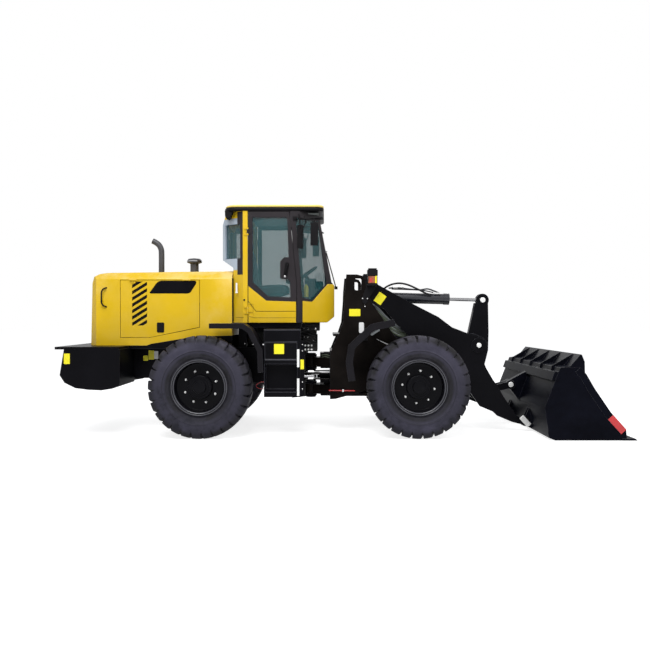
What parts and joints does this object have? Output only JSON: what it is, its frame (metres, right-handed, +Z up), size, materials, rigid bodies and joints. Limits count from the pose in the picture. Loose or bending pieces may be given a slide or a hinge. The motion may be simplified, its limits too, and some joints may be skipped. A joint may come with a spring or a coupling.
{
  "type": "wheel loader",
  "caption": "Articulated wheel loader with a cab, louvred engine hood, twin-arm boom, bell crank linkage and a wide digging bucket on lugged tyres.",
  "frame": {"origin": "on the ground, below the middle of the overall length and width", "axes": "+X forward towards the bucket, +Y to the machine's left, +Z up"},
  "size_m": [6.71, 2.25, 2.7758],
  "materials": {
    "yellow_paint": "gloss",
    "black_paint": "satin",
    "fender_plastic": "matte",
    "worn_steel": "satin",
    "cast_engine": "matte",
    "exhaust_paint": "matte",
    "chrome_rod": "polished",
    "cab_glazing": "polished",
    "seat_fabric": "matte",
    "cab_plastic": "matte",
    "tyre_rubber": "matte",
    "rim_paint": "satin",
    "lamp_lens": "satin"
  },
  "bodies": {
    "rear_chassis": {"rear_frame": "black_paint", "hood_sills": "black_paint", "rear_axle": "black_paint", "counterweight": "black_paint", "engine_hood": "yellow_paint", "rear_grille": "black_paint", "engine_block": "cast_engine", "radiator": "black_paint", "transmission": "black_paint", "exhaust_pipe": "exhaust_paint", "air_precleaner": "black_paint", "fuel_tank": "black_paint", "hydraulic_tank": "black_paint", "rear_fenders": "fender_plastic", "cab_body": "yellow_paint", "cab_frame": "black_paint", "cab_nose": "yellow_paint", "cab_glass": "cab_glazing", "cab_roof": "yellow_paint", "roof_trim": "black_paint", "tail_lamps": "lamp_lens", "cab_platform": "black_paint", "seat": "seat_fabric", "dash_console": "cab_plastic", "mirrors": "black_paint"},
    "front_chassis": {"front_frame": "black_paint", "front_axle": "black_paint", "front_driveshaft": "black_paint", "front_fenders": "fender_plastic", "headlamps": "black_paint"},
    "boom": {"boom": "black_paint"},
    "bell_crank": {"bell_crank": "black_paint"},
    "bucket": {"bucket": "black_paint", "cutting_edge": "worn_steel"},
    "bucket_link": {"bucket_link": "black_paint"},
    "lift_barrels": {"lift_barrels": "black_paint"},
    "lift_rods": {"lift_rods": "chrome_rod"},
    "tilt_barrel": {"tilt_barrel": "black_paint"},
    "tilt_rod": {"tilt_rod": "chrome_rod"},
    "wheel_front_right": {"tyre_front_right": "tyre_rubber", "wheel_front_right": "rim_paint"},
    "wheel_front_left": {"tyre_front_left": "tyre_rubber", "wheel_front_left": "rim_paint"},
    "wheel_rear_right": {"tyre_rear_right": "tyre_rubber", "wheel_rear_right": "rim_paint"},
    "wheel_rear_left": {"tyre_rear_left": "tyre_rubber", "wheel_rear_left": "rim_paint"},
    "steer_barrel_right": {"steer_barrel_right": "black_paint"},
    "steer_rod_right": {"steer_rod_right": "chrome_rod"},
    "cab_door_right": {"cab_door_right": "black_paint", "door_skin_right": "yellow_paint", "door_glass_right": "cab_glazing"},
    "hood_door_right": {"hood_door_right": "yellow_paint"},
    "steer_barrel_left": {"steer_barrel_left": "black_paint"},
    "steer_rod_left": {"steer_rod_left": "chrome_rod"},
    "cab_door_left": {"cab_door_left": "black_paint", "door_skin_left": "yellow_paint", "door_glass_left": "cab_glazing"},
    "hood_door_left": {"hood_door_left": "yellow_paint"}
  },
  "joints": [
    {"name": "articulation", "type": "hinge", "parent": "rear_chassis", "child": "front_chassis", "pos_m": [-0.403, 0, 0.668], "axis": [0, 0, 1], "range_deg": [-35, 35]},
    {"name": "boom_lift", "type": "hinge", "parent": "front_chassis", "child": "boom", "pos_m": [0.282, 0, 1.68], "axis": [0, -1, 0], "range_deg": [0, 80]},
    {"name": "bucket_tilt", "type": "hinge", "parent": "boom", "child": "bucket", "pos_m": [2.254, 0, 0.13], "axis": [0, 1, 0], "range_deg": [-40, 100]},
    {"name": "wheel_spin_front_right", "type": "hinge", "parent": "front_chassis", "child": "wheel_front_right", "pos_m": [0.87, -0.87, 0.6], "axis": [0, 1, 0], "continuous": true},
    {"name": "wheel_spin_front_left", "type": "hinge", "parent": "front_chassis", "child": "wheel_front_left", "pos_m": [0.87, 0.87, 0.6], "axis": [0, 1, 0], "continuous": true},
    {"name": "wheel_spin_rear_right", "type": "hinge", "parent": "rear_chassis", "child": "wheel_rear_right", "pos_m": [-1.677, -0.87, 0.6], "axis": [0, 1, 0], "continuous": true},
    {"name": "wheel_spin_rear_left", "type": "hinge", "parent": "rear_chassis", "child": "wheel_rear_left", "pos_m": [-1.677, 0.87, 0.6], "axis": [0, 1, 0], "continuous": true},
    {"name": "cab_door_hinge_right", "type": "hinge", "parent": "rear_chassis", "child": "cab_door_right", "pos_m": [-1.156, -0.652, 2], "axis": [0, 0, -1], "range_deg": [0, 85]},
    {"name": "hood_door_hinge_right", "type": "hinge", "parent": "rear_chassis", "child": "hood_door_right", "pos_m": [-2.235, -0.574, 1.868], "axis": [-1, 0, 0], "range_deg": [0, 70]},
    {"name": "cab_door_hinge_left", "type": "hinge", "parent": "rear_chassis", "child": "cab_door_left", "pos_m": [-1.156, 0.652, 2], "axis": [0, 0, 1], "range_deg": [0, 85]},
    {"name": "hood_door_hinge_left", "type": "hinge", "parent": "rear_chassis", "child": "hood_door_left", "pos_m": [-2.235, 0.574, 1.868], "axis": [1, 0, 0], "range_deg": [0, 70]},
    {"name": "crank_swing", "type": "hinge", "parent": "boom", "child": "bell_crank", "pos_m": [1.68, 0, 1.068], "axis": [0, -1, 0], "range_deg": [-13.21, 33.01]},
    {"name": "link_swing", "type": "hinge", "parent": "bucket", "child": "bucket_link", "pos_m": [2.176, 0, 0.547], "axis": [0, -1, 0], "range_deg": [-24.81, 62.01]},
    {"name": "tilt_barrel_swing", "type": "hinge", "parent": "boom", "child": "tilt_barrel", "pos_m": [0.282, 0, 1.68], "axis": [0, -1, 0], "range_deg": [-1.29, 0.52]},
    {"name": "tilt_rod_slide", "type": "slide", "parent": "tilt_barrel", "child": "tilt_rod", "axis": [0.9996, 0, -0.0274], "range_m": [-0.332, 0.1331]},
    {"name": "lift_barrel_swing", "type": "hinge", "parent": "front_chassis", "child": "lift_barrels", "pos_m": [0.2, 0, 1.09], "axis": [0, -1, 0], "range_deg": [-0.01, 63.11]},
    {"name": "lift_rod_slide", "type": "slide", "parent": "lift_barrels", "child": "lift_rods", "axis": [0.9861, 0, -0.1661], "range_m": [-0.0005, 0.6716]},
    {"name": "steer_barrel_swing_right", "type": "hinge", "parent": "rear_chassis", "child": "steer_barrel_right", "pos_m": [-1.01, -0.285, 0.668], "axis": [0, 0, 1], "range_deg": [-1.9, 1.9]},
    {"name": "steer_rod_slide_right", "type": "slide", "parent": "steer_barrel_right", "child": "steer_rod_right", "axis": [0.9947, 0.1024, 0], "range_m": [-0.1289, 0.1289]},
    {"name": "steer_barrel_swing_left", "type": "hinge", "parent": "rear_chassis", "child": "steer_barrel_left", "pos_m": [-1.01, 0.285, 0.668], "axis": [0, 0, 1], "range_deg": [-1.9, 1.9]},
    {"name": "steer_rod_slide_left", "type": "slide", "parent": "steer_barrel_left", "child": "steer_rod_left", "axis": [0.9947, -0.1024, 0], "range_m": [-0.1289, 0.1289]}
  ],
  "couplings": [
    {"joint": "crank_swing", "follows": "bucket_tilt", "ratio": 0.33},
    {"joint": "link_swing", "follows": "bucket_tilt", "ratio": 0.62},
    {"joint": "tilt_barrel_swing", "follows": "bucket_tilt", "ratio": -0.01285},
    {"joint": "tilt_rod_slide", "follows": "bucket_tilt", "m_per_rad": -0.18992},
    {"joint": "lift_barrel_swing", "follows": "boom_lift", "ratio": 0.78875},
    {"joint": "lift_rod_slide", "follows": "boom_lift", "m_per_rad": 0.48066},
    {"joint": "steer_barrel_swing_right", "follows": "articulation", "ratio": 0.0539},
    {"joint": "steer_rod_slide_right", "follows": "articulation", "m_per_rad": 0.21017},
    {"joint": "steer_barrel_swing_left", "follows": "articulation", "ratio": 0.0539},
    {"joint": "steer_rod_slide_left", "follows": "articulation", "m_per_rad": -0.21017}
  ]
}
